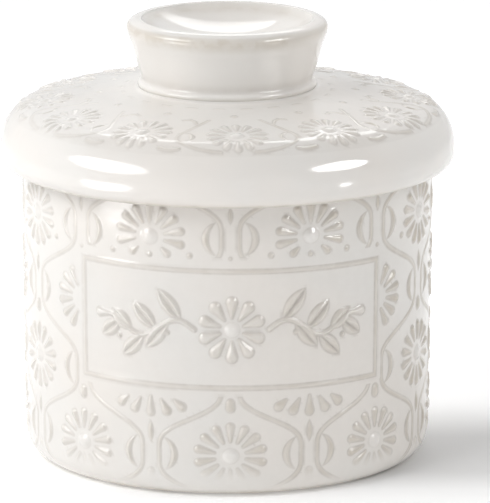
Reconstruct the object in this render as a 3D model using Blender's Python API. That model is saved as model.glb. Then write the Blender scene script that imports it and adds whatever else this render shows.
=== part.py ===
"""A butter crock: a straight-sided pot, and a lid with a dished knob on top and a butter bell below.

Metres, +Z up. The pot stands on Z = 0 and every piece is turned about the Z axis.
"""

import math

import bmesh
import bpy

MM = 0.001
SEGMENTS = 64
GAP = 0.3  # between pieces that touch

# Pot, in millimetres
POT_LOW_R = 51.07  # outside, just above the rounded base
POT_HIGH_R = 51.9  # outside, under the rim
POT_RIM_Z = 84.7
POT_WALL = 4.5
POT_FLOOR_Z = 6.5
BASE_ROUNDING = 5.4
FOOT_INNER_R = 41.0
FOOT_RECESS = 1.5
FOOT_SLOPE = 2.0
FLOOR_FILLET = 7.0
RIM_ROUNDING = 1.6

# Lid cover
LID_R = 57.5
LID_LIP_Z = 74.3
LIP_ROUNDING = 3.5
SKIRT_INNER_R = 53.2
SEAT_Z = POT_RIM_Z + GAP
SEAT_INNER_R = 46.0
SEAT_FILLET = 2.3
SEAT_STEP_RUN = 3.5
COVER_UNDERSIDE_Z = 87.6
SHOULDER_R = 48.0  # centre of the elliptical shoulder
SHOULDER_Z = 79.0
SHOULDER_ACROSS = 9.5
SHOULDER_UP = 11.0
DOME_EDGE_R = 49.5
DOME_APEX_Z = 94.55
DOME_FALL = 0.00192  # drop per square millimetre of radius
KNOB_PAD_R = 23.0
KNOB_PAD_Z = 93.5

# Knob
KNOB_RIM_R = 22.2  # centre of the rim's elliptical roll
KNOB_RIM_Z = 109.3
KNOB_RIM_ACROSS = 3.1
KNOB_RIM_UP = 2.08
COLLAR_R = 22.7
COLLAR_BEAD = 1.3
NECK_LOW_R = 21.5
NECK_LOW_Z = 97.2
DISH_R = 21.7
DISH_EDGE_Z = 111.1
DISH_FLOOR_Z = 105.4
DISH_POWER = 2.3  # how late the floor of the dish curves up to its edge

# Butter bell
BELL_TOP_R = 39.5
BELL_MOUTH_R = 38.0
BELL_MOUTH_Z = 16.5
BELL_WALL = 4.2
BELL_CROWN = 4.4
BELL_FLARE = 2.5
BELL_FLARE_EDGE = 1.0
BELL_INNER_ROUNDING = 8.0


def arc(centre_r, centre_z, across, up, start, end, steps):
    """Points on an ellipse, from one angle to another in degrees, 0 outwards and 90 up."""
    points = []
    for step in range(steps + 1):
        angle = math.radians(start + (end - start) * step / steps)
        points.append((centre_r + across * math.cos(angle), centre_z + up * math.sin(angle)))
    return points


def pot_profile():
    inner_high_r = POT_HIGH_R - POT_WALL
    inner_low_r = POT_LOW_R - POT_WALL
    rim_z = POT_RIM_Z - RIM_ROUNDING
    profile = [(0.0, FOOT_RECESS), (FOOT_INNER_R - FOOT_SLOPE, FOOT_RECESS), (FOOT_INNER_R, 0.0)]
    profile += arc(POT_LOW_R - BASE_ROUNDING, BASE_ROUNDING, BASE_ROUNDING, BASE_ROUNDING, -90, 0, 6)
    profile += arc(POT_HIGH_R - RIM_ROUNDING, rim_z, RIM_ROUNDING, RIM_ROUNDING, 0, 90, 4)
    profile += arc(inner_high_r + RIM_ROUNDING, rim_z, RIM_ROUNDING, RIM_ROUNDING, 90, 180, 4)
    fillet_z = POT_FLOOR_Z + FLOOR_FILLET
    profile += arc(inner_low_r - FLOOR_FILLET, fillet_z, FLOOR_FILLET, FLOOR_FILLET, 0, -90, 5)
    profile.append((0.0, POT_FLOOR_Z))
    return profile


def dome_height(radius):
    return DOME_APEX_Z - DOME_FALL * radius * radius


def cover_profile():
    seat_corner_r = SKIRT_INNER_R - SEAT_FILLET
    lip_inner = LID_R - LIP_ROUNDING - SKIRT_INNER_R
    dome_start = math.degrees(math.acos((DOME_EDGE_R - SHOULDER_R) / SHOULDER_ACROSS))
    profile = [(0.0, COVER_UNDERSIDE_Z), (SEAT_INNER_R - SEAT_STEP_RUN, COVER_UNDERSIDE_Z)]
    profile.append((SEAT_INNER_R, SEAT_Z))
    profile += arc(seat_corner_r, SEAT_Z - SEAT_FILLET, SEAT_FILLET, SEAT_FILLET, 90, 0, 4)
    profile += arc(SKIRT_INNER_R + lip_inner, LID_LIP_Z + lip_inner, lip_inner, lip_inner, 180, 270, 3)
    lip_z = LID_LIP_Z + LIP_ROUNDING
    profile += arc(LID_R - LIP_ROUNDING, lip_z, LIP_ROUNDING, LIP_ROUNDING, -90, 0, 6)[1:]
    profile += arc(SHOULDER_R, SHOULDER_Z, SHOULDER_ACROSS, SHOULDER_UP, 0, dome_start, 8)
    for radius in (45.0, 40.0, 34.0, 28.5):
        profile.append((radius, dome_height(radius)))
    profile += [(KNOB_PAD_R, KNOB_PAD_Z), (0.0, KNOB_PAD_Z)]
    return profile


def dish_height(share):
    """Height of the dish's floor, at a share of the way from the axis to its edge."""
    return DISH_FLOOR_Z + (DISH_EDGE_Z - DISH_FLOOR_Z) * share ** DISH_POWER


def knob_profile():
    base_z = KNOB_PAD_Z + GAP
    collar_r = COLLAR_R - COLLAR_BEAD
    profile = [(0.0, base_z)]
    profile += arc(collar_r, base_z + COLLAR_BEAD, COLLAR_BEAD, COLLAR_BEAD, -90, 75, 6)
    profile.append((NECK_LOW_R, NECK_LOW_Z))
    profile += arc(KNOB_RIM_R, KNOB_RIM_Z, KNOB_RIM_ACROSS, KNOB_RIM_UP, -35, 90, 8)
    for share in (1.0, 0.88, 0.75, 0.6, 0.42, 0.22, 0.0):
        profile.append((DISH_R * share, dish_height(share)))
    return profile


def bell_profile():
    top_z = COVER_UNDERSIDE_Z - GAP
    inner_top_r = BELL_TOP_R - BELL_WALL
    crown_z = top_z - BELL_CROWN
    lip = BELL_WALL / 2
    flare_r = BELL_TOP_R + BELL_FLARE
    flare_z = top_z - BELL_FLARE_EDGE - BELL_FLARE
    rounding = BELL_INNER_ROUNDING
    profile = [(0.0, top_z), (flare_r, top_z)]
    profile += arc(flare_r, flare_z, BELL_FLARE, BELL_FLARE, 90, 180, 3)
    profile += arc(BELL_MOUTH_R - lip, BELL_MOUTH_Z + lip, lip, lip, 0, -180, 6)
    profile += arc(inner_top_r - rounding, crown_z - rounding, rounding, rounding, 0, 90, 4)
    profile.append((0.0, crown_z))
    return profile


def turned(name, profile, material, parent=None):
    """One closed solid turned about the Z axis, from a profile that starts and ends on the axis."""
    shape = bmesh.new()
    rings = []
    for radius, height in profile:
        if radius < 1e-6:
            rings.append([shape.verts.new((0.0, 0.0, height * MM))])
            continue
        ring = []
        for step in range(SEGMENTS):
            angle = 2.0 * math.pi * step / SEGMENTS
            place = (radius * math.cos(angle), radius * math.sin(angle), height)
            ring.append(shape.verts.new([MM * value for value in place]))
        rings.append(ring)
    for first, second in zip(rings, rings[1:]):
        for step in range(SEGMENTS):
            after = step + 1
            corners = [first[step % len(first)], first[after % len(first)]]
            corners += [second[after % len(second)], second[step % len(second)]]
            shape.faces.new(list(dict.fromkeys(corners)))
    bmesh.ops.recalc_face_normals(shape, faces=shape.faces)
    mesh = bpy.data.meshes.new(name)
    shape.to_mesh(mesh)
    shape.free()
    mesh.materials.append(material)
    mesh.shade_smooth()
    mesh.set_sharp_from_angle(angle=math.radians(35.0))
    piece = bpy.data.objects.new(name, mesh)
    bpy.context.scene.collection.objects.link(piece)
    piece.parent = parent
    return piece


def glaze(name, colour, roughness):
    """A plain glossy glaze."""
    material = bpy.data.materials.new(name)
    material.use_nodes = True
    shader = material.node_tree.nodes["Principled BSDF"]
    shader.inputs["Base Color"].default_value = (*colour, 1.0)
    shader.inputs["Roughness"].default_value = roughness
    return material


def clear_scene():
    for thing in list(bpy.data.objects):
        bpy.data.objects.remove(thing, do_unlink=True)


def lid_axis():
    """The empty that the lid's pieces hang from, on the axis the lid lifts along."""
    axis = bpy.data.objects.new("lid", None)
    axis.empty_display_size = 0.02
    bpy.context.scene.collection.objects.link(axis)
    return axis


def build():
    clear_scene()
    lid = lid_axis()
    turned("crock_pot", pot_profile(), glaze("pot_glaze", (0.80, 0.79, 0.76), 0.12))
    turned("lid_cover", cover_profile(), glaze("cover_glaze", (0.80, 0.79, 0.76), 0.10), lid)
    turned("lid_knob", knob_profile(), glaze("knob_glaze", (0.80, 0.78, 0.75), 0.10), lid)
    turned("butter_bell", bell_profile(), glaze("bell_glaze", (0.82, 0.81, 0.79), 0.14), lid)


build()
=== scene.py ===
"""The butter crock's looks: off-white glazed stoneware with a raised ornament, in soft studio light.

Helpers work in millimetres and degrees; meshes are in metres. Azimuth 0 is the front (-Y), 90 is +X.
"""

import math

import bpy
import numpy as np
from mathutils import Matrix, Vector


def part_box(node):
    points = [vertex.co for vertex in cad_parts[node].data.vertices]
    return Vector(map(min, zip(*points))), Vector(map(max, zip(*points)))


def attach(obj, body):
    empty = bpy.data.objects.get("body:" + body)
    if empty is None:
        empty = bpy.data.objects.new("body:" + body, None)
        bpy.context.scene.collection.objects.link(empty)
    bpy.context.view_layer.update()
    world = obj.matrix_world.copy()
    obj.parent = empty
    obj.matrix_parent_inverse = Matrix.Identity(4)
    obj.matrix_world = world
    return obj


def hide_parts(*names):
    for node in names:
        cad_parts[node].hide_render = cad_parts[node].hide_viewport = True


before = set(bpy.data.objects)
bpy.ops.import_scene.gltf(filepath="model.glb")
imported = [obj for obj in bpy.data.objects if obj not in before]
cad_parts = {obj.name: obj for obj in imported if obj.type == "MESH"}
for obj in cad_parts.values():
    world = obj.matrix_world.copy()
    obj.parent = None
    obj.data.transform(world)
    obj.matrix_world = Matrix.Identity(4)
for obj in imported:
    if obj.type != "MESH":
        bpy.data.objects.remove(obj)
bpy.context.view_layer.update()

MM = 0.001
GAP = 0.3  # between pieces that touch

# Sizes read from the frame
POT_R, POT_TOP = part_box("crock_pot")[1][0] / MM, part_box("crock_pot")[1][2] / MM
LID_R, LID_LIP_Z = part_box("lid_cover")[1][0] / MM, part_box("lid_cover")[0][2] / MM
KNOB_PAD_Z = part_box("lid_cover")[1][2] / MM
KNOB_BASE_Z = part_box("lid_knob")[0][2] / MM
KNOB_R, KNOB_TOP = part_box("lid_knob")[1][0] / MM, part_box("lid_knob")[1][2] / MM
BELL_MOUTH_Z, BELL_TOP_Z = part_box("butter_bell")[0][2] / MM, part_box("butter_bell")[1][2] / MM
BELL_FLANGE_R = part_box("butter_bell")[1][0] / MM

# Pot
POT_LOW_R = POT_R - 0.83  # the wall tapers a little towards the base
POT_WALL = 4.5
POT_FLOOR_Z = 6.5
BASE_ROUNDING = 5.4
FOOT_INNER_R, FOOT_MIDDLE_R = 41.0, 43.4
FOOT_RECESS = 1.5
FLOOR_FILLET = 7.0
RIM_ROUNDING = 1.6
DISC_RING_R = 20.0  # one more ring of points within a flat disc

# Lid cover
LIP_ROUNDING = 3.5
SKIRT_INNER_R = 53.2
SEAT_Z = POT_TOP + GAP
SEAT_INNER_R = 46.0
SEAT_FILLET, SEAT_STEP_RUN = 2.3, 3.5
COVER_UNDERSIDE_Z = BELL_TOP_Z + GAP
SHOULDER_ACROSS, SHOULDER_UP = 9.5, 11.0
SHOULDER_R, SHOULDER_Z = LID_R - SHOULDER_ACROSS, 79.0
DOME_EDGE_R, DOME_INNER_R = 49.5, 24.8
DOME_APEX_Z, DOME_FALL = 94.55, 0.00192
RELIEF_FROM = 0.66  # where the relief starts, as a share of the shoulder's width

# Knob
RIM_ACROSS, RIM_UP = 3.1, 2.08
RIM_R, RIM_Z = KNOB_R - RIM_ACROSS, KNOB_TOP - RIM_UP
COLLAR_R, COLLAR_BEAD, COLLAR_UP = 22.7, 1.3, 1.05
BEAD_CLEARANCE = 0.04
NECK = [(21.75, 96.1), (21.68, 96.5), (21.85, 97.3), (22.25, 98.4), (22.75, 100.0), (23.25, 101.9)]
NECK += [(23.72, 103.7), (24.2, 105.3), (24.72, 106.7), (25.1, 107.9), (25.26, 108.8)]
DISH_R, DISH_EDGE_Z, DISH_FLOOR_Z, DISH_POWER = 21.7, KNOB_TOP - 0.28, 105.4, 2.3

# Butter bell
BELL_FLARE, BELL_FLARE_EDGE = 2.5, 1.0
BELL_R, BELL_MOUTH_R = BELL_FLANGE_R - BELL_FLARE, 38.0
BELL_WALL, BELL_CROWN, BELL_INNER_ROUNDING = 4.2, 4.4, 8.0

# Raised ornament: heights, and how far a shape's soft flank reaches outside and inside its edge
RAISE, LINE_RAISE, BUTTON_RAISE, SPRIG_RAISE = 0.50, 0.30, 0.70, 0.70
FLANK_OUT, FLANK_IN = 0.15, 0.80
FOOT_AT, FOOT_WIDTH = 0.05, 0.25
FAR = 1e3  # the distance given where a shape is absent

# The wall's lattice of ogee cells
WALL_R = 51.45
CELL_PITCH = 45.0
CELL_PHASE = 0.85
CELL_LOW_Z = 10.9
CELL_RISE = 36.7
OGEE_MEAN, OGEE_SWING, OGEE_SQUARE = 11.25, 8.8, 0.12
ORNAMENT_TOP_Z, TOP_FADE = 80.0, 1.5
SHAPES_FROM, LINES_FROM = (4.0, 8.6), (1.2, 5.0)  # heights over which the ornament grows from nothing
OGEE_HALF_LINE = 0.45
PER_DEGREE = math.radians(1.0) * WALL_R
HIGH_BAND_Z = 60.0  # cells and necks above this carry the marks of the band above the panel

# A daisy: petals, where they start and end from its middle, and the radius of a petal's head
WALL_DAISY, WALL_DAISY_WIDE, WALL_DAISY_TALL = (14, 3.7, 9.0, 1.02), 1.02, 0.94
LID_DAISY, LID_DAISY_REACH = (14, 3.3, 7.5, 0.92), 8.5
PANEL_FLOWER = (10, 2.8, 8.4, 1.4)
PETAL_TAIL = 0.28

# Beside each daisy of the wall: a moon (inner, outer and tip places, half height) and a dot
MOON, MOON_X = (13.3, 14.85, 16.2, 3.9), 15.0
DOT_X, DOT_Y, DOT_R = 10.2, -4.3, 0.65

# The short petals below the panel: (start, end) of each
FAN_PETALS = [((0.0, -3.9), (0.0, -7.8)), ((2.8, -4.6), (4.3, -7.3)), ((6.2, -4.5), (8.1, -6.1))]
FAN_TAIL, FAN_HEAD = 0.3, 1.15

# The plain panel on the front
PANEL_AZ, PANEL_HALF_WIDE = 1.25, 40.6
PANEL_Z, PANEL_HALF_TALL = 43.0, 15.5
PANEL_TILT = 0.010
PANEL_MARGIN, PANEL_MARGIN_ABOVE = 1.6, 2.9
PANEL_CROWDED = PANEL_HALF_WIDE - 10.0  # daisies nearer the middle than this are cut by the panel
FRAME_LINE_IN, FRAME_HALF_LINE = 0.72, 0.50
PANEL_SUNK, PANEL_INSET = 0.14, 2.0

# The lid's ring of daisies
LID_PHASE = 3.0
LID_PITCH = 60.0
DAISY_RING_R = 46.0
LID_SHARE = 0.7  # of the wall's height
LID_HALF_LINE, LID_HALF_BAR = 0.34, 0.50
LID_FADE_R, LID_CLEAR_R = (54.3, 55.0), (27.0, 38.0)  # where it ends, and where it is worn faint to clear

FINE = 3  # fine grid steps to one coarse step
RAISED_COLUMNS, RAISED_STEP = 402, 0.27
PLAIN_COLUMNS = 256
FLAT_WITHIN = 0.012  # a coarse cell whose relief spans less than this stays coarse


# ---------------------------------------------------------------- outlines

def arc(centre_r, centre_z, across, up, start, end, steps):
    """Points on an ellipse, from one angle to another in degrees, 0 outwards and 90 up."""
    angles = np.radians(np.linspace(start, end, steps + 1))
    return [(centre_r + across * math.cos(a), centre_z + up * math.sin(a)) for a in angles]


def curve(corners, steps):
    """A smooth run through corners of two numbers, with so many steps to each side."""
    padded = [corners[0]] + corners + [corners[-1]]
    run = []
    for a, b, c, d in zip(padded, padded[1:], padded[2:], padded[3:]):
        for t in np.linspace(0.0, 1.0, steps + 1)[:-1]:
            point = []
            for p, q, r, s in zip(a, b, c, d):
                square, cube = 2 * p - 5 * q + 4 * r - s, 3 * q - p - 3 * r + s
                point.append(0.5 * (2 * q + (r - p) * t + square * t * t + cube * t ** 3))
            run.append(tuple(point))
    return run + [corners[-1]]


def resampled(points, step):
    """The outline with points a step apart along it, in a number that FINE divides."""
    points = np.array(points)
    lengths = np.hypot(*np.diff(points, axis=0).T)
    along = np.concatenate([[0.0], np.cumsum(lengths)])
    count = FINE * max(2, round(along[-1] / step / FINE))
    at = np.linspace(0.0, along[-1], count + 1)
    return np.column_stack([np.interp(at, along, points[:, 0]), np.interp(at, along, points[:, 1])])


def pot_outlines():
    """(underside, ornamented wall, rim and inside) of the pot, each running on from the one before."""
    inner_high_r, inner_low_r = POT_R - POT_WALL, POT_LOW_R - POT_WALL
    rim_z = POT_TOP - RIM_ROUNDING
    foot_r = POT_LOW_R - BASE_ROUNDING
    underside = [(0.0, FOOT_RECESS), (DISC_RING_R, FOOT_RECESS)]
    underside += arc(FOOT_INNER_R - 2.6, FOOT_RECESS - 1.0, 1.0, 1.0, 90, 30, 4)
    underside += arc(FOOT_INNER_R + 0.6, 0.5, 0.9, 0.5, 200, 270, 4)
    underside += [(FOOT_MIDDLE_R, 0.0)]
    wall = arc(foot_r, BASE_ROUNDING, BASE_ROUNDING, BASE_ROUNDING, -90, 0, 24) + [(POT_R, rim_z)]
    inside = arc(POT_R - RIM_ROUNDING, rim_z, RIM_ROUNDING, RIM_ROUNDING, 0, 90, 10)
    inside += arc(inner_high_r + RIM_ROUNDING, rim_z, RIM_ROUNDING, RIM_ROUNDING, 90, 180, 10)
    fillet_z = POT_FLOOR_Z + FLOOR_FILLET
    inside += [(inner_high_r - 0.3, 60.0), (inner_low_r + 0.25, 34.0)]
    inside += arc(inner_low_r - FLOOR_FILLET, fillet_z, FLOOR_FILLET, FLOOR_FILLET, 0, -90, 14)
    inside += [(DISC_RING_R, POT_FLOOR_Z), (0.0, POT_FLOOR_Z)]
    return underside, wall, inside[1:]


def dome_height(radius):
    return DOME_APEX_Z - DOME_FALL * radius * radius


def cover_outlines():
    """(underside, lip and shoulder), (ornamented dome), (pad under the knob) of the cover."""
    corner_r = SKIRT_INNER_R - SEAT_FILLET
    lip_inner = LID_R - LIP_ROUNDING - SKIRT_INNER_R
    lip_z = LID_LIP_Z + LIP_ROUNDING
    across = SHOULDER_ACROSS
    dome_start = math.degrees(math.acos((DOME_EDGE_R - SHOULDER_R) / across))
    relief_start = math.degrees(math.acos(RELIEF_FROM))
    below = [(0.0, COVER_UNDERSIDE_Z), (SEAT_INNER_R - SEAT_STEP_RUN, COVER_UNDERSIDE_Z)]
    below.append((SEAT_INNER_R, SEAT_Z))
    below += arc(corner_r, SEAT_Z - SEAT_FILLET, SEAT_FILLET, SEAT_FILLET, 90, 0, 8)
    below += arc(SKIRT_INNER_R + lip_inner, LID_LIP_Z + lip_inner, lip_inner, lip_inner, 180, 270, 5)
    below += arc(LID_R - LIP_ROUNDING, lip_z, LIP_ROUNDING, LIP_ROUNDING, -90, 0, 16)[1:]
    below += arc(SHOULDER_R, SHOULDER_Z, across, SHOULDER_UP, 0, relief_start, 20)[:-1]
    dome = arc(SHOULDER_R, SHOULDER_Z, across, SHOULDER_UP, relief_start, dome_start, 16)
    dome += [(radius, dome_height(radius)) for radius in np.linspace(DOME_EDGE_R, DOME_INNER_R, 24)[1:]]
    fillet = [(23.9, dome_height(23.9) + 0.02), (23.3, dome_height(23.3) + 0.10)]
    fillet += [(22.95, 93.74), (22.74, 94.0)]
    bead_r, bead_z = COLLAR_R - COLLAR_BEAD, KNOB_BASE_Z + COLLAR_UP
    pad = arc(bead_r, bead_z, COLLAR_BEAD + BEAD_CLEARANCE, COLLAR_UP + BEAD_CLEARANCE, -30, -90, 8)
    pad += [(bead_r - 0.8, KNOB_PAD_Z), (0.0, KNOB_PAD_Z)]
    return below, dome, fillet + pad


def knob_outline():
    collar_r = COLLAR_R - COLLAR_BEAD
    outline = [(0.0, KNOB_BASE_Z)]
    outline += arc(collar_r, KNOB_BASE_Z + COLLAR_UP, COLLAR_BEAD, COLLAR_UP, -90, 68, 14)
    outline += curve(NECK, 4)
    outline += arc(RIM_R, RIM_Z, RIM_ACROSS, RIM_UP, 4, 88, 20)
    outline += arc(DISH_R + 0.18, DISH_EDGE_Z, 0.28, 0.26, 70, 175, 5)
    for share in np.linspace(0.985, 0.0, 26):
        outline.append((DISH_R * share, DISH_FLOOR_Z + (DISH_EDGE_Z - DISH_FLOOR_Z) * share ** DISH_POWER))
    return outline


def bell_outline():
    inner_top_r = BELL_R - BELL_WALL
    crown_z = BELL_TOP_Z - BELL_CROWN
    flare_z = BELL_TOP_Z - BELL_FLARE_EDGE - BELL_FLARE
    lip = BELL_WALL / 2
    rounding = BELL_INNER_ROUNDING
    outline = [(0.0, BELL_TOP_Z), (BELL_FLANGE_R - 0.3, BELL_TOP_Z)]
    outline += arc(BELL_FLANGE_R, flare_z, BELL_FLARE, BELL_FLARE, 90, 180, 8)
    outline += [(BELL_R - 0.5, 60.0), (BELL_R - 1.05, 36.0)]
    outline += arc(BELL_MOUTH_R - lip, BELL_MOUTH_Z + lip, lip, lip, 0, -180, 16)
    outline += [(inner_top_r - 1.05, 36.0), (inner_top_r - 0.5, 60.0)]
    outline += arc(inner_top_r - rounding, crown_z - rounding, rounding, rounding, 0, 90, 10)
    outline += [(DISC_RING_R, crown_z), (0.0, crown_z)]
    return outline


# ---------------------------------------------------------------- raised shapes
# Each gives a distance in millimetres, negative inside the shape.

def smooth(value, low, high):
    share = np.clip((value - low) / (high - low), 0.0, 1.0)
    return share * share * (3.0 - 2.0 * share)


def line_at(value, place, width):
    """A soft line, 1 at a place and gone at about twice its width."""
    return np.exp(-((value - place) / width) ** 2)


def wrapped(value, period):
    """value brought to within half a period of 0."""
    return value - period * np.round(value / period)


def drop(along, across, length, tail, head):
    """A teardrop: a circle of radius tail at 0, one of radius head at length, and straight sides between."""
    across = np.abs(across)
    lean = (tail - head) / length
    side = math.sqrt(1.0 - lean * lean)
    reach = side * along - lean * across
    near_head = np.hypot(across, along - length) - head
    near_tail = np.hypot(across, along) - tail
    flank = side * across + lean * along - tail
    return np.where(reach < 0.0, near_tail, np.where(reach > side * length, near_head, flank))


def leaf(along, across, length, width):
    """An almond from 0 to length."""
    half = length / 2
    radius = (half * half + width * width / 4) / width
    return np.hypot(along - half, np.abs(across) + radius - width / 2) - radius


def crescent(x, y, inner_x, outer_x, tip_x, half_height):
    """A moon between two arcs that meet at (tip_x, +-half_height) and cross y = 0 at inner_x and outer_x."""
    distances = []
    for middle in (inner_x, outer_x):
        sag = tip_x - middle
        radius = (half_height * half_height + sag * sag) / (2.0 * sag)
        distances.append(np.hypot(x - middle - radius, y) - radius)
    return np.maximum(distances[0], -distances[1])


def stroke(x, y, path, half_width):
    """A ridge along a path of points."""
    nearest = np.full(x.shape, FAR)
    for (x0, y0), (x1, y1) in zip(path, path[1:]):
        run, rise = x1 - x0, y1 - y0
        share = np.clip(((x - x0) * run + (y - y0) * rise) / (run * run + rise * rise), 0.0, 1.0)
        nearest = np.minimum(nearest, np.hypot(x - x0 - share * run, y - y0 - share * rise))
    return nearest - half_width


def daisy(x, y, shape, keep=None):
    """(petals' distance, button's height share). keep(x, y) says whether the petal that ends there is made."""
    petals, inner, outer, head = shape
    radius, angle = np.hypot(x, y), np.arctan2(y, x)
    step = 2.0 * math.pi / petals
    petal = math.pi / 2 + step * np.round((angle - math.pi / 2) / step)
    along, across = radius * np.cos(angle - petal), radius * np.sin(angle - petal)
    end, tail = outer - head, PETAL_TAIL
    distance = drop(along - inner - tail, across, end - inner - tail, tail, head)
    if keep is not None:
        distance = np.where(keep(end * np.cos(petal), end * np.sin(petal)), distance, FAR)
    button_r = 0.25 * outer
    return distance, 1.0 - smooth(radius, 0.25 * button_r, 1.12 * button_r)


# ---------------------------------------------------------------- the wall's ornament

def fan(x, y):
    """The five petals that show below the panel, measured from the middle of the daisy they belong to."""
    shapes = []
    for (x0, y0), (x1, y1) in FAN_PETALS:
        length = math.hypot(x1 - x0, y1 - y0)
        run, rise = (x1 - x0) / length, (y1 - y0) / length
        along = (np.abs(x) - x0) * run + (y - y0) * rise
        across = (np.abs(x) - x0) * rise - (y - y0) * run
        shapes.append(drop(along, across, length, FAN_TAIL, FAN_HEAD))
    return np.minimum.reduce(shapes)


def panel_distance(x, z):
    """Distance outside the panel's outer edge, negative inside it. x is the arc from azimuth 0."""
    from_middle = x - math.radians(PANEL_AZ) * WALL_R
    beside = np.abs(from_middle) - PANEL_HALF_WIDE
    above = np.abs(z - PANEL_Z + PANEL_TILT * from_middle) - PANEL_HALF_TALL
    outside = np.hypot(np.maximum(beside, 0.0), np.maximum(above, 0.0))
    return outside + np.minimum(np.maximum(beside, above), 0.0)


def ogee_half_width(y):
    """Half the width in degrees of an ogee cell, y millimetres above its middle."""
    turn = 2.0 * math.pi * y / CELL_RISE
    shape = np.cos(turn) - OGEE_SQUARE * np.cos(3.0 * turn)
    return OGEE_MEAN + OGEE_SWING * shape / (1.0 - OGEE_SQUARE)


def wall_daisy(x, y, keep):
    return daisy(x / WALL_DAISY_WIDE, y / WALL_DAISY_TALL, WALL_DAISY, keep)


def crown(x, y):
    """The daisy just above the panel, whose lower petals are cut short."""
    petals, _ = wall_daisy(x, y, lambda end_x, end_y: end_y > -3.0)
    length, run, rise = 1.7, math.cos(math.radians(-42.0)), math.sin(math.radians(-42.0))
    along = (np.abs(x) - 3.3) * run + (y + 3.0) * rise
    across = (np.abs(x) - 3.3) * rise - (y + 3.0) * run
    return np.minimum.reduce([petals, drop(along, across, length, 0.35, 0.85), np.hypot(x, y + 4.5) - 0.6])


def cell_motif(x, y, x0, z0):
    """(distance, button) inside an ogee cell whose middle is at arc x0 and height z0."""
    def outside_panel(dx, dy):
        return panel_distance(x0 + dx, z0 + dy) > PANEL_MARGIN

    petals, button = wall_daisy(x, y, outside_panel)
    clear = outside_panel(0.0, 0.0)
    crowded = np.abs(x0) < PANEL_CROWDED
    button = np.where(clear, button, 0.0)
    petals = np.where((z0 < PANEL_Z) & ~clear & crowded, fan(x, y), petals)
    petals = np.where((z0 > PANEL_Z) & clear & crowded, crown(x, y), petals)
    side = np.sign(x)
    moon = np.where(outside_panel(side * MOON_X, 0.0), crescent(np.abs(x), y, *MOON), FAR)
    dots = np.hypot(np.abs(x) - DOT_X, y - DOT_Y) - DOT_R
    dots = np.where((z0 > HIGH_BAND_Z) & outside_panel(side * DOT_X, DOT_Y), dots, FAR)
    return np.minimum.reduce([petals, moon, dots]), button


def neck_marks(x, y, x0, z0):
    """The leaf above and the oval below the narrow neck between two cells, whose middle is at x0, z0."""
    high = z0 > HIGH_BAND_Z
    above = np.where(high, leaf(y - 4.0, x, 3.6, 1.0), leaf(y - 3.0, x, 5.0, 1.35))
    above = np.where(panel_distance(x0, z0 + 5.5) > PANEL_MARGIN, above, FAR)
    below = np.where(high, np.hypot(x, y + 4.9) - 0.35, drop(y + 6.1, x, 1.3, 1.12, 1.0))
    below = np.where(panel_distance(x0, z0 - 4.5) > PANEL_MARGIN, below, FAR)
    return np.minimum(above, below)


def wall_lattice(azimuth, z):
    """(motifs' distance, lines' distance, button) of the lattice of ogee cells round the whole wall."""
    arc_x = wrapped(azimuth, 360.0) * PER_DEGREE
    distance, button = np.full(azimuth.shape, FAR), np.zeros(azimuth.shape)
    for shift in (0, 1):
        turn = azimuth - CELL_PHASE - shift * CELL_PITCH / 2
        rise = z - CELL_LOW_Z - shift * CELL_RISE / 2
        x, y = wrapped(turn, CELL_PITCH) * PER_DEGREE, wrapped(rise, CELL_RISE)
        x0 = arc_x - x
        motif, dome = cell_motif(x, y, x0, z - y)
        neck_y = wrapped(rise - CELL_RISE / 2, CELL_RISE)
        marks = neck_marks(x, neck_y, x0, z - neck_y)
        distance = np.minimum.reduce([distance, motif, marks])
        button = button + dome
    turn = wrapped(azimuth - CELL_PHASE, CELL_PITCH)
    rise = z - CELL_LOW_Z
    slope = (ogee_half_width(rise + 0.1) - ogee_half_width(rise - 0.1)) / 0.2 * PER_DEGREE
    off = (np.abs(turn) - ogee_half_width(rise)) * PER_DEGREE
    line = np.abs(off) / np.sqrt(1.0 + slope * slope) - OGEE_HALF_LINE
    margin = np.where(z > PANEL_Z, PANEL_MARGIN_ABOVE, PANEL_MARGIN)
    cut = margin - panel_distance(arc_x, z)
    return distance, np.maximum(line, cut), button


def branch_path(side):
    """The wavy stem of the panel's garland, from the flower outwards."""
    steps = np.linspace(0.0, 1.0, 22)
    return [(side * (9.3 + 22.6 * s), 2.2 * math.sin(2.0 * math.pi * s * 1.25)) for s in steps]


def garland(x, y):
    """(distance, button) of the sprig on the panel: a flower with a leafy branch on each side."""
    flower, button = daisy(x, y, PANEL_FLOWER)
    shapes = [flower]
    for side in (-1, 1):
        path = branch_path(side)
        shapes.append(stroke(x, y, path, 0.62))
        for number, at in enumerate((3, 6, 9, 12, 15, 18)):
            px, py = path[at]
            up = 1 if number % 2 == 0 else -1
            angle = math.radians(52.0 - 3.0 * number) * up
            run, rise = side * math.cos(angle), math.sin(angle)
            along = (x - px) * run + (y - py) * rise
            across = (x - px) * rise - (y - py) * run
            length = 9.4 - 0.55 * number
            shapes.append(np.maximum(leaf(along - 0.4, across, length, 3.9), 0.16 - np.abs(across)))
        px, py = path[-1]
        shapes.append(drop((x - px) * side, y - py, 3.0, 0.5, 1.25))
        for at in (5, 11, 17):
            qx, qy = path[at]
            up = -1 if (at // 6) % 2 == 0 else 1
            shapes.append(np.hypot(x - qx - side * 1.5, y - qy - up * 3.2) - 0.62)
    return np.minimum.reduce(shapes), button


def side_shade_share(azimuth):
    """How strongly the relief's tints show round the crock: painted shade, fainter on the lit left side and
    stronger on the shaded right.
    """
    return 0.7 + 0.35 * np.sin(np.radians(azimuth))


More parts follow.
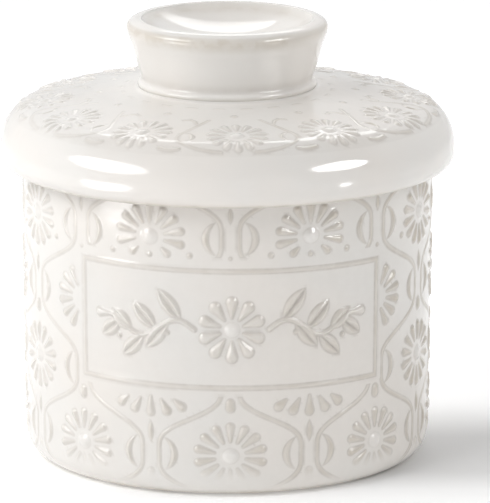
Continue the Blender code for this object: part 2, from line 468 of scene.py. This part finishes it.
def raised_surface(layers, button):
    """(height, pool, thin) of layers of raised shapes, each (distance, height, clay, presence).

    Pool is where glaze gathers, along a shape's foot. Thin is where it breaks over the top and shows clay.
    """
    height, pool_and_shade = BUTTON_RAISE * button, 0.5 * line_at(button, 0.12, 0.12)
    thin_and_shade = np.zeros(button.shape)
    for distance, raised, clay, presence in layers:
        inside = 1.0 - smooth(distance, -FLANK_IN, FLANK_OUT)
        foot = line_at(distance, FOOT_AT, FOOT_WIDTH)
        halo = np.exp(-np.maximum(distance, 0.0) / 1.5)
        height = np.maximum(height, raised * inside * presence)
        pool_and_shade = np.maximum(pool_and_shade, (foot + 0.12 * halo) * presence)
        thin_and_shade = np.maximum(thin_and_shade, clay * (1.0 - smooth(distance, -0.35, 0.1)) * presence)
    return height, pool_and_shade, thin_and_shade


def wall_relief(azimuth, z):
    """(height, pooled tint, clay tint) over the pot's wall; both tints carry painted shade, stronger on the
    shaded right.
    """
    shapes, lines, button = wall_lattice(azimuth, z)
    x = wrapped(azimuth, 360.0) * PER_DEGREE
    to_panel = panel_distance(x, z)
    lines = np.minimum(lines, np.abs(to_panel + FRAME_LINE_IN) - FRAME_HALF_LINE)
    inside = to_panel < -PANEL_INSET
    sprig = np.full(shapes.shape, FAR)
    sprig[inside], flower = garland(x[inside] - math.radians(PANEL_AZ) * WALL_R, z[inside] - PANEL_Z)
    button[inside] = flower
    below_rim = 1.0 - smooth(z, ORNAMENT_TOP_Z - TOP_FADE, ORNAMENT_TOP_Z)
    low = smooth(z, *SHAPES_FROM)
    layers = [(shapes, RAISE, 1.0, low * below_rim)]
    layers.append((lines, LINE_RAISE, 0.8, smooth(z, *LINES_FROM) * below_rim))
    layers.append((sprig, SPRIG_RAISE, 0.6, 1.0))
    height, pool_and_shade, thin_and_shade = raised_surface(layers, button * low)
    sunk = smooth(-to_panel, 1.2, 3.0)
    pool_and_shade = np.maximum(pool_and_shade, 0.3 * sunk * (1.0 - smooth(-to_panel, 2.0, 3.6)))
    # Painted shade: the tints are scaled down on the lit left of the pot and up on its shaded right.
    share = side_shade_share(azimuth)
    return height - PANEL_SUNK * sunk, pool_and_shade * share, thin_and_shade * share


# ---------------------------------------------------------------- the lid's ornament

def lid_arcs():
    """The line round each enclosed daisy, as (degrees from the daisy, radius), from the inside outwards."""
    corners = [(10.3, 35.4), (13.2, 39.0), (16.2, 43.2), (18.0, 46.6)]
    corners += [(17.0, 49.9), (12.6, 52.2), (8.2, 53.1), (4.6, 53.5)]
    return curve(corners, 4)


def polar_places(path):
    """(degrees, radius) points as plane points, with the radius along +Y."""
    return [(r * math.sin(math.radians(a)), r * math.cos(math.radians(a))) for a, r in path]


def cover_relief(azimuth, radius):
    """(height, pooled tint, clay tint) over the lid's dome; both tints carry painted shade, stronger on the
    shaded right.
    """
    petals = marks = lines = np.full(azimuth.shape, FAR)
    button = np.zeros(azimuth.shape)
    for shift in (0, 1):
        turn = wrapped(azimuth - LID_PHASE - shift * LID_PITCH / 2, LID_PITCH)
        angle = np.radians(np.abs(turn))
        x, y = radius * np.sin(angle), radius * np.cos(angle)
        flower, dome = daisy(x, y - DAISY_RING_R, LID_DAISY)
        near = np.hypot(x, y - DAISY_RING_R) < LID_DAISY_REACH
        petals = np.minimum(petals, np.where(near, flower, FAR))
        button = button + np.where(near, dome, 0.0)
        shapes = [np.hypot(x, y - 32.4) - 0.85]
        if shift == 0:
            lines = np.minimum(lines, stroke(x, y, polar_places(lid_arcs()), LID_HALF_LINE))
            shapes.append(crescent(x, y - 45.6, 10.4, 11.5, 12.6, 2.6))
        else:
            ends = polar_places([(8.7, 52.8), (10.4, 53.1), (12.2, 53.1), (13.9, 52.8)])
            shapes.append(stroke(x, y, ends, LID_HALF_BAR))
            hooks = polar_places([(9.8, 36.2), (12.2, 35.6), (14.6, 36.6), (15.8, 38.6)])
            shapes.append(stroke(x, y, hooks, LID_HALF_LINE))
        marks = np.minimum.reduce([marks] + shapes)
    tick = np.radians(np.abs(wrapped(azimuth - LID_PHASE - 7.5, 15.0)))
    x, y = radius * np.sin(tick), radius * np.cos(tick)
    marks = np.minimum(marks, stroke(x, y, [(-1.1, 26.6), (1.1, 26.6)], LID_HALF_LINE))
    presence = 1.0 - smooth(radius, *LID_FADE_R)
    faint = 0.5 + 0.5 * smooth(radius, *LID_CLEAR_R)
    layers = [(petals, RAISE, 0.3, presence), (marks, RAISE, 0.8, presence)]
    layers.append((lines, LINE_RAISE, 0.7, presence))
    height, pool_and_shade, thin_and_shade = raised_surface(layers, button)
    # Painted shade: the tints are scaled down on the lit left of the lid and up on its shaded right.
    faint_and_side_shade = faint * side_shade_share(azimuth)
    return height * faint * LID_SHARE, 0.8 * pool_and_shade * faint_and_side_shade, thin_and_shade * faint_and_side_shade


# ---------------------------------------------------------------- turned meshes

def outline_normals(outline):
    """Unit normals of an outline, pointing out of a solid whose outline runs from the bottom up."""
    tangents = np.gradient(outline, axis=0)
    tangents /= np.hypot(*tangents.T)[:, None]
    return np.column_stack([tangents[:, 1], -tangents[:, 0]])


def hollow_and_edge(outline):
    """How hollow and how sharp an outline is at each point: glaze pools in one and thins on the other."""
    blur = 0.9
    steps = np.hypot(*np.diff(outline, axis=0).T)
    along = np.concatenate([[0.0], np.cumsum(steps)])
    heading = np.unwrap(np.arctan2(*np.diff(outline, axis=0).T[::-1]))
    bend, at = np.diff(heading), along[1:-1]
    spread = np.exp(-((along[:, None] - at[None, :]) / blur) ** 2 / 2.0)
    turn = spread @ bend / (blur * math.sqrt(2.0 * math.pi))
    return 0.4 * np.clip(-turn / 0.45, 0.0, 1.0), 0.5 * smooth(turn, 0.45, 1.0)


class Turned:
    """Collects rings of points about Z and the faces between them. tint(radius, z) is how much clay shows, and
    on the lid's lip and in the knob's dish also painted shade.
    """

    def __init__(self, columns, tint):
        self.columns = columns
        self.tint = tint
        self.points = []
        self.faces = []
        self.pool_and_shade = []
        self.thin_and_shade = []
        self.last = None

    def add_points(self, radius, azimuth, z, pool_and_shade, thin_and_shade):
        """Adds arrays of points and returns their first index."""
        first = sum(len(block) for block in self.points)
        angle = np.radians(azimuth)
        place = np.column_stack([radius * np.sin(angle), -radius * np.cos(angle), z])
        self.points.append(place * MM)
        self.pool_and_shade.append(pool_and_shade)
        self.thin_and_shade.append(np.maximum(thin_and_shade, self.tint(radius, z)))
        return first

    def join(self, ring):
        """Faces between the last ring and this one."""
        if self.last is not None:
            n = self.columns
            for k in range(n):
                after = (k + 1) % n
                corners = [self.last[k % len(self.last)], self.last[after % len(self.last)]]
                corners += [ring[after % len(ring)], ring[k % len(ring)]]
                self.faces.append(list(dict.fromkeys(corners)))
        self.last = ring

    def plain(self, outline):
        """Smooth rings along an outline."""
        outline = np.array(outline)
        hollow, edge = hollow_and_edge(outline)
        azimuth = np.arange(self.columns) * 360.0 / self.columns
        for (radius, z), pool_and_shade, thin_and_shade in zip(outline, hollow, edge):
            if radius < 1e-6:
                first = self.add_points(np.zeros(1), np.zeros(1), np.array([z]), np.zeros(1), np.zeros(1))
                self.join([first])
                continue
            ones = np.ones(self.columns)
            first = self.add_points(radius * ones, azimuth, z * ones, pool_and_shade * ones, thin_and_shade * ones)
            self.join(list(range(first, first + self.columns)))

    def raised(self, outline, relief):
        """A stretch with relief: a coarse grid, made finer wherever the relief is not flat."""
        normals = outline_normals(outline)
        rows, fine_columns = len(outline), FINE * self.columns
        azimuth = np.arange(fine_columns) * 360.0 / fine_columns
        height, pool_and_shade, thin_and_shade = relief(azimuth, outline)
        hollow, edge = hollow_and_edge(outline)
        radius = outline[:, :1] + normals[:, :1] * height
        z = outline[:, 1:] + normals[:, 1:] * height
        full = np.broadcast_to(azimuth, height.shape)
        pool_and_shade = np.clip(pool_and_shade + hollow[:, None], 0.0, 1.0)
        thin_and_shade = np.clip(thin_and_shade + edge[:, None], 0.0, 1.0)
        busy = self.busy_cells(height)
        used = self.used_points(busy, rows, fine_columns)
        index = np.full(height.shape, -1)
        first = self.add_points(radius[used], full[used], z[used], pool_and_shade[used], thin_and_shade[used])
        index[used] = first + np.arange(used.sum())
        self.join(list(index[0, ::FINE]))
        self.grid_faces(index, busy)
        self.last = list(index[-1, ::FINE])

    def busy_cells(self, height):
        """Which coarse cells hold relief. The first and last rows stay plain, to join smooth rings."""
        rows, columns = (height.shape[0] - 1) // FINE, self.columns
        ringed = np.concatenate([height, height[:, :1]], axis=1)
        low, high = np.full((rows, columns), np.inf), np.full((rows, columns), -np.inf)
        for i in range(FINE + 1):
            for j in range(FINE + 1):
                part = ringed[i:i + FINE * (rows - 1) + 1:FINE, j:j + FINE * (columns - 1) + 1:FINE]
                low, high = np.minimum(low, part), np.maximum(high, part)
        busy = high - low > FLAT_WITHIN
        busy[0] = False
        busy[-1] = False
        return busy

    def used_points(self, busy, rows, fine_columns):
        used = np.zeros((rows, fine_columns), bool)
        used[::FINE, ::FINE] = True
        for row, column in zip(*np.nonzero(busy)):
            across = np.arange(column * FINE, (column + 1) * FINE + 1) % fine_columns
            used[row * FINE:(row + 1) * FINE + 1, across] = True
        return used

    def grid_faces(self, index, busy):
        rows, columns = busy.shape
        fine_columns = index.shape[1]
        for row in range(rows):
            for column in range(columns):
                top, left = row * FINE, column * FINE
                if busy[row, column]:
                    for i in range(top, top + FINE):
                        for j in range(left, left + FINE):
                            after = (j + 1) % fine_columns
                            face = [index[i, j], index[i, after], index[i + 1, after], index[i + 1, j]]
                            self.faces.append(face)
                    continue
                across = [(left + j) % fine_columns for j in range(FINE + 1)]
                down = [top + i for i in range(FINE + 1)]
                border = [index[top, j] for j in across]
                border += [index[i, across[-1]] for i in down[1:]]
                border += [index[down[-1], j] for j in reversed(across[:-1])]
                border += [index[i, across[0]] for i in reversed(down[1:-1])]
                self.faces.append(self.border_of(border, row, column, busy))

    def border_of(self, border, row, column, busy):
        """The border's corners, and the points between two of them where the neighbour beyond is fine."""
        rows, columns = busy.shape
        beyond = [
            row > 0 and busy[row - 1, column],
            busy[row, (column + 1) % columns],
            row < rows - 1 and busy[row + 1, column],
            busy[row, column - 1],
        ]
        kept = []
        for side in range(4):
            kept.append(border[side * FINE])
            if beyond[side]:
                kept += border[side * FINE + 1:(side + 1) * FINE]
        return kept

    def finish(self, name, body, node, material):
        """Makes the piece, which replaces its CAD node."""
        mesh = bpy.data.meshes.new(name)
        mesh.from_pydata(np.concatenate(self.points), [], self.faces)
        for layer, values in (("pool_and_shade", self.pool_and_shade), ("thin_and_shade", self.thin_and_shade)):
            attribute = mesh.attributes.new(layer, "FLOAT", "POINT")
            attribute.data.foreach_set("value", np.concatenate(values).astype(np.float32))
        mesh.shade_smooth()
        mesh.update()
        mesh.materials.append(material)
        piece = bpy.data.objects.new(name, mesh)
        bpy.context.scene.collection.objects.link(piece)
        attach(piece, body)
        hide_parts(node)
        return piece


def wall_ornament(azimuth, outline):
    return wall_relief(*np.broadcast_arrays(azimuth, outline[:, 1:]))


def cover_ornament(azimuth, outline):
    return cover_relief(*np.broadcast_arrays(azimuth, outline[:, :1]))


def pot_clay(radius, z):
    """Clay shows on the unglazed foot ring, at the foot's edge and along the rim."""
    radius, z = np.broadcast_arrays(radius, z)
    ring = (1.0 - smooth(z, 0.1, 0.35)) * smooth(radius, FOOT_INNER_R - 1.5, FOOT_INNER_R - 0.5)
    edge = line_at(z, 0.3, 1.0) * (radius > POT_LOW_R - BASE_ROUNDING)
    return np.maximum.reduce([ring, edge, 0.45 * line_at(z, POT_TOP, 0.5)])


def lid_clay_and_lip_shade(radius, z):
    """Clay shows on the lip's lower edge, and the same band stands in as painted shade on the lip's
    downward-facing rounding.
    """
    return line_at(z, LID_LIP_Z + 0.25, 0.85) * np.ones_like(radius)


def knob_clay_and_dish_shade(radius, z):
    """Clay shows faintly on the band under the rim; the ring high in the dish is painted shade on the dish's
    upper wall.
    """
    band = 0.9 * line_at(z, 109.3, 1.9) * smooth(radius, 24.3, 24.9)
    # The ring in the dish: painted shade on its upper wall.
    return np.maximum(band, 0.5 * line_at(radius, 19.8, 1.5) * (z < DISH_EDGE_Z) * (z > DISH_FLOOR_Z))


def bell_clay(radius, z):
    """Clay shows round the bell's mouth."""
    return 0.6 * line_at(z, BELL_MOUTH_Z, 0.9) * np.ones_like(radius)


def make_pot(material):
    underside, wall, inside = pot_outlines()
    pot = Turned(RAISED_COLUMNS, pot_clay)
    pot.plain(underside)
    pot.raised(resampled(wall, RAISED_STEP), wall_ornament)
    pot.plain(inside)
    return pot.finish("pot_body", "pot", "crock_pot", material)


def make_cover(material):
    below, dome, pad = cover_outlines()
    cover = Turned(RAISED_COLUMNS, lid_clay_and_lip_shade)
    cover.plain(below)
    cover.raised(resampled(dome, RAISED_STEP), cover_ornament)
    cover.plain(pad)
    return cover.finish("cover_body", "lid", "lid_cover", material)


def make_plain(name, node, outline, clay, material):
    # The clay tint also carries painted shade, in the knob's dish.
    piece = Turned(PLAIN_COLUMNS, clay)
    piece.plain(outline)
    return piece.finish(name, "lid", node, material)


# ---------------------------------------------------------------- materials

WHITE, CREAM = (0.81, 0.79, 0.76, 1.0), (0.83, 0.792, 0.75, 1.0)
# The pooled and thinned colours are the glaze's own, and are also laid on as painted shade.
POOLED_AND_SHADE, THINNED_AND_SHADE = (0.55, 0.51, 0.465, 1.0), (0.62, 0.57, 0.50, 1.0)
GLAZE_IOR = 1.45
# Noise, in features to the metre
DRIFTS, MOTTLES, BREAKS = 26.0, 420.0, 160.0
GLOSS_PATCHES, WAVES, RIPPLES = 90.0, 55.0, 240.0
WAVE_HEIGHT, RIPPLE_SHARE = 0.0006, 0.12


def new_material(name):
    material = bpy.data.materials.new(name)
    material.use_nodes = True
    return material


class Nodes:
    """A short way to build the node tree of a material or a world."""

    def __init__(self, owner):
        self.tree = owner.node_tree
        self.shader = self.tree.nodes.get("Principled BSDF")

    def add(self, kind, inputs=None, **settings):
        node = self.tree.nodes.new(kind)
        for key, value in settings.items():
            setattr(node, key, value)
        for key, value in (inputs or {}).items():
            self.set(node, key, value)
        return node

    def set(self, node, key, value):
        if isinstance(value, bpy.types.NodeSocket):
            self.tree.links.new(value, node.inputs[key])
        else:
            node.inputs[key].default_value = value

    def layer(self, name):
        return self.add("ShaderNodeAttribute", attribute_name=name).outputs["Fac"]

    def blend(self, factor, first, second):
        node = self.add("ShaderNodeMix", data_type="RGBA")
        self.set(node, 0, factor)
        self.set(node, 6, first)
        self.set(node, 7, second)
        return node.outputs[2]

    def math(self, operation, first, second=0.0, third=0.0):
        node = self.add("ShaderNodeMath", operation=operation)
        for key, value in enumerate((first, second, third)):
            self.set(node, key, value)
        return node.outputs[0]

    def ramp(self, value, low, high, to_low=0.0, to_high=1.0):
        inputs = {"Value": value, "From Min": low, "From Max": high, "To Min": to_low, "To Max": to_high}
        return self.add("ShaderNodeMapRange", inputs, interpolation_type="SMOOTHSTEP").outputs[0]

    def noise(self, place, scale, detail=2.0):
        inputs = {"Vector": place, "Scale": scale, "Detail": detail}
        return self.add("ShaderNodeTexNoise", inputs).outputs["Fac"]


def glaze(name, roughness):
    """Off-white glaze: creamy drifts, grey-beige pools, clay showing where it runs thinly, and a wavy gloss.
    The pooled and clay tints also carry painted shade.
    """
    material = new_material(name)
    nodes = Nodes(material)
    place = nodes.add("ShaderNodeTexCoord").outputs["Object"]
    drift = nodes.ramp(nodes.noise(place, DRIFTS, 3.0), 0.35, 0.68)
    mottle = nodes.ramp(nodes.noise(place, MOTTLES), 0.3, 0.7, 0.72, 1.0)
    body = nodes.blend(drift, WHITE, CREAM)
    pool_and_shade = nodes.math("MULTIPLY", nodes.layer("pool_and_shade"), mottle)
    coloured = nodes.blend(pool_and_shade, body, POOLED_AND_SHADE)
    uneven = nodes.ramp(nodes.noise(place, BREAKS, 3.0), 0.42, 0.62)
    thin_and_shade = nodes.math("MULTIPLY", nodes.layer("thin_and_shade"), nodes.ramp(uneven, 0.0, 1.0, 0.65, 1.0))
    coloured = nodes.blend(thin_and_shade, coloured, THINNED_AND_SHADE)
    nodes.set(nodes.shader, "Base Color", coloured)
    gloss = nodes.ramp(nodes.noise(place, GLOSS_PATCHES), 0.3, 0.7, roughness * 0.75, roughness * 1.4)
    gloss = nodes.math("MULTIPLY_ADD", thin_and_shade, 0.12, gloss)
    nodes.set(nodes.shader, "Roughness", gloss)
    ripples = nodes.noise(place, RIPPLES, 1.0)
    waves = nodes.math("MULTIPLY_ADD", ripples, RIPPLE_SHARE, nodes.noise(place, WAVES, 1.0))
    bump = nodes.add("ShaderNodeBump", {"Height": waves, "Strength": 0.35, "Distance": WAVE_HEIGHT})
    nodes.set(nodes.shader, "Normal", bump.outputs["Normal"])
    nodes.set(nodes.shader, "IOR", GLAZE_IOR)
    return material


# ---------------------------------------------------------------- stage

TARGET = (0.0, 0.0, 52.0 * MM)
CAMERA_DISTANCE, CAMERA_ELEVATION = 1.3595, 13.17
LENS, SENSOR = 382.5, 36.0
SHIFT_X, SHIFT_Y = 0.0352, -0.0093

# Each light: name, azimuth, elevation, distance, width, height, watts
SOFTBOXES = [
    ("left_softbox", -50.0, 45.0, 1.2, 0.6, 0.6, 6.4),
    ("side_softbox", -98.0, 38.0, 1.0, 0.7, 0.7, 2.5),
    ("right_softbox", 80.0, 40.0, 1.2, 0.6, 0.6, 2.9),
    ("back_softbox", 165.0, 60.0, 1.2, 0.9, 0.7, 2.2),
]
WINDOWS = [
    ("left_window", -65.0, 25.5, 1.0, 0.80, 0.42, 6.8),
    ("back_window", 176.0, 41.0, 1.0, 0.55, 0.30, 0.95),
    ("right_window", 61.0, 27.0, 1.0, 0.54, 0.30, 6.8),
]

# What the world and the floor send out, from place to place
WORLD_FRONT, WORLD_BACK, WORLD_LOW = 0.22, 1.05, 0.85
FLOOR_Z = -0.05 * MM
FLOOR_HALF = 6.0
GLOW_BACK, GLOW_NEAR, GLOW_FAR, GLOW_LEAST = 0.40, 0.27, 0.42, 0.02


def direction(azimuth, elevation):
    """A unit vector, azimuth 0 towards -Y and 90 towards +X."""
    a, e = math.radians(azimuth), math.radians(elevation)
    return np.array([math.sin(a) * math.cos(e), -math.cos(a) * math.cos(e), math.sin(e)])


def facing(thing, position, target):
    thing.location = position
    way = np.array(target) - np.array(position)
    flat = math.hypot(way[0], way[1])
    thing.rotation_euler = (math.atan2(flat, -way[2]), 0.0, math.atan2(-way[0], way[1]))


def make_camera():
    data = bpy.data.cameras.new("camera")
    data.sensor_width, data.lens = SENSOR, LENS
    data.shift_x, data.shift_y = SHIFT_X, SHIFT_Y
    camera = bpy.data.objects.new("camera", data)
    bpy.context.scene.collection.objects.link(camera)
    facing(camera, np.array(TARGET) + CAMERA_DISTANCE * direction(0.0, CAMERA_ELEVATION), TARGET)
    bpy.context.scene.camera = camera


def softbox(name, azimuth, elevation, distance, width, height, watts):
    data = bpy.data.lights.new(name, "AREA")
    data.shape = "RECTANGLE"
    data.size, data.size_y = width, height
    data.energy = watts
    lamp = bpy.data.objects.new(name, data)
    bpy.context.scene.collection.objects.link(lamp)
    facing(lamp, np.array(TARGET) + distance * direction(azimuth, elevation), TARGET)
    return lamp


def glint(name, azimuth, elevation, distance, width, height, watts, start=TARGET):
    """An oval light that only shows in the gloss, placed from a point."""
    lamp = softbox(name, azimuth, elevation, distance, width, height, watts)
    lamp.data.shape = "ELLIPSE"
    facing(lamp, np.array(start) + distance * direction(azimuth, elevation), start)
    lamp.visible_diffuse = False


def make_lights():
    """Softboxes that light the glaze, windows that show in it, and two low ones mirrored in the lid's lip."""
    for box in SOFTBOXES:
        softbox(*box).visible_glossy = False
    for window in WINDOWS:
        glint(*window)
    left_lip, right_lip = (-29.6 * MM, -49.3 * MM, 79.0 * MM), (28.3 * MM, -50.0 * MM, 79.2 * MM)
    glint("left_low_window", -63.6, -12.0, 0.2, 0.115, 0.036, 0.08, left_lip)
    glint("right_low_window", 60.5, -10.0, 0.2, 0.030, 0.020, 0.022, right_lip)


def make_world():
    """A bright band round the horizon and a bright wall behind, under a dark ceiling."""
    world = bpy.data.worlds.new("studio")
    world.use_nodes = True
    nodes = Nodes(world)
    way = nodes.add("ShaderNodeTexCoord").outputs["Generated"]
    axes = nodes.add("ShaderNodeSeparateXYZ", {0: way}).outputs
    back = nodes.ramp(axes["Y"], -0.25, 0.25, WORLD_FRONT, WORLD_BACK)
    low = nodes.ramp(axes["Z"], 0.14, 0.36, 1.0, 0.0)
    lit = nodes.math("MULTIPLY_ADD", nodes.math("SUBTRACT", WORLD_LOW, back), low, back)
    lit = nodes.math("MULTIPLY", lit, nodes.ramp(axes["Z"], 0.6, 0.8, 1.0, 0.0))
    background = nodes.tree.nodes["Background"]
    nodes.set(background, "Color", (1.0, 1.0, 1.0, 1.0))
    nodes.set(background, "Strength", lit)
    bpy.context.scene.world = world


def make_floor():
    """A white floor that glows: painted light behind, in front and to the left, so that the cast shadow shows
    only on the right.
    """
    mesh = bpy.data.meshes.new("floor")
    sides = ((-1, -1), (1, -1), (1, 1), (-1, 1))
    mesh.from_pydata([(x * FLOOR_HALF, y * FLOOR_HALF, FLOOR_Z) for x, y in sides], [], [(0, 1, 2, 3)])
    floor = bpy.data.objects.new("floor", mesh)
    bpy.context.scene.collection.objects.link(floor)
    glowing_paper = new_material("glowing_paper")
    nodes = Nodes(glowing_paper)
    place = nodes.add("ShaderNodeTexCoord").outputs["Object"]
    tone = nodes.blend(nodes.noise(place, 3.0), (0.79, 0.79, 0.79, 1.0), (0.81, 0.81, 0.81, 1.0))
    axes = nodes.add("ShaderNodeSeparateXYZ", {0: place}).outputs
    away = nodes.add("ShaderNodeVectorMath", {0: place}, operation="LENGTH").outputs["Value"]
    # Painted light: the glow is least near the crock and fills in the shadow in front, behind and to the left.
    glow = nodes.ramp(away, 0.35, 1.0, GLOW_LEAST, GLOW_FAR)
    glow = nodes.math("MAXIMUM", glow, nodes.ramp(axes["Y"], 0.0, 0.05, 0.0, GLOW_BACK))
    glow = nodes.math("MAXIMUM", glow, nodes.ramp(axes["Y"], -0.055, -0.02, GLOW_NEAR, 0.0))
    glow = nodes.math("MAXIMUM", glow, nodes.ramp(axes["X"], -0.03, 0.02, GLOW_NEAR, 0.0))
    nodes.set(nodes.shader, "Base Color", tone)
    nodes.set(nodes.shader, "Roughness", 0.9)
    nodes.set(nodes.shader, "Emission Color", (1.0, 1.0, 1.0, 1.0))
    nodes.set(nodes.shader, "Emission Strength", glow)
    mesh.materials.append(glowing_paper)


def main():
    bpy.context.scene.view_settings.view_transform = "Standard"
    make_camera()
    make_lights()
    make_world()
    make_floor()
    make_pot(glaze("pot_glaze_look", 0.10))
    make_cover(glaze("cover_glaze_look", 0.08))
    knob, bell = glaze("knob_glaze_look", 0.08), glaze("bell_glaze_look", 0.12)
    make_plain("knob_body", "lid_knob", knob_outline(), knob_clay_and_dish_shade, knob)
    make_plain("bell_body", "butter_bell", bell_outline(), bell_clay, bell)


main()
